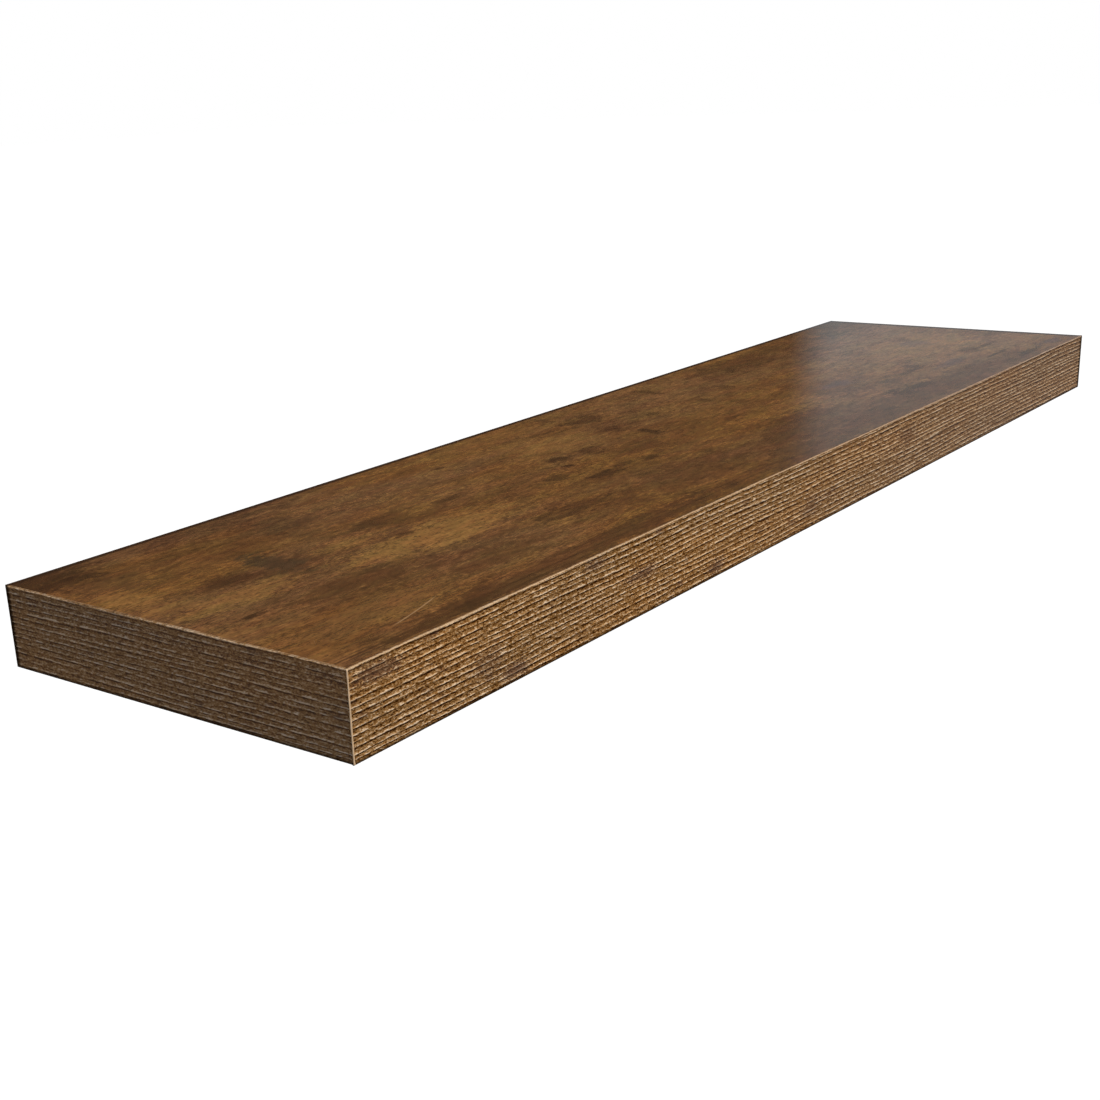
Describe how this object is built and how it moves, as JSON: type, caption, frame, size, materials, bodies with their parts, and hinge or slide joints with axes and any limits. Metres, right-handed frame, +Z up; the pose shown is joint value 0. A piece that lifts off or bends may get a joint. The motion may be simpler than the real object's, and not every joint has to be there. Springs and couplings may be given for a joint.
{
  "type": "floating wall shelf",
  "caption": "Straight hollow-core floating shelf board with embossed edge bands that slides onto the rods of a concealed steel wall bracket.",
  "frame": {"origin": "middle of the wall plate's back face, on the wall", "axes": "+X along the shelf to the right as seen from the room, +Y into the wall, +Z up"},
  "size_m": [0.8, 0.2, 0.038],
  "materials": {
    "rustic_decor": "satin",
    "edge_band": "matte",
    "chipboard": "matte",
    "kraft_paper": "matte",
    "black_steel": "satin",
    "zinc_alloy": "satin",
    "oxide_steel": "satin"
  },
  "bodies": {
    "bracket": {"wall_plate": "black_steel", "left_rod": "black_steel", "centre_rod": "black_steel", "right_rod": "black_steel"},
    "board": {"top_panel": "rustic_decor", "bottom_panel": "rustic_decor", "front_edge_band": "edge_band", "left_edge_band": "edge_band", "right_edge_band": "edge_band", "front_rail": "chipboard", "back_rail": "chipboard", "left_end_rail": "chipboard", "right_end_rail": "chipboard", "left_rod_block": "chipboard", "centre_rod_block": "chipboard", "right_rod_block": "chipboard", "outer_left_honeycomb": "kraft_paper", "inner_left_honeycomb": "kraft_paper", "inner_right_honeycomb": "kraft_paper", "outer_right_honeycomb": "kraft_paper", "left_lock_insert": "zinc_alloy", "right_lock_insert": "zinc_alloy"},
    "left_lock": {"left_lock_screw": "oxide_steel"},
    "right_lock": {"right_lock_screw": "oxide_steel"}
  },
  "joints": [
    {"name": "board_slide", "type": "slide", "parent": "bracket", "child": "board", "axis": [0, -1, 0], "range_m": [0, 0.16]},
    {"name": "left_lock_travel", "type": "slide", "parent": "board", "child": "left_lock", "axis": [0, 0, -1], "range_m": [0, 0.0024]},
    {"name": "right_lock_travel", "type": "slide", "parent": "board", "child": "right_lock", "axis": [0, 0, -1], "range_m": [0, 0.0024]}
  ]
}
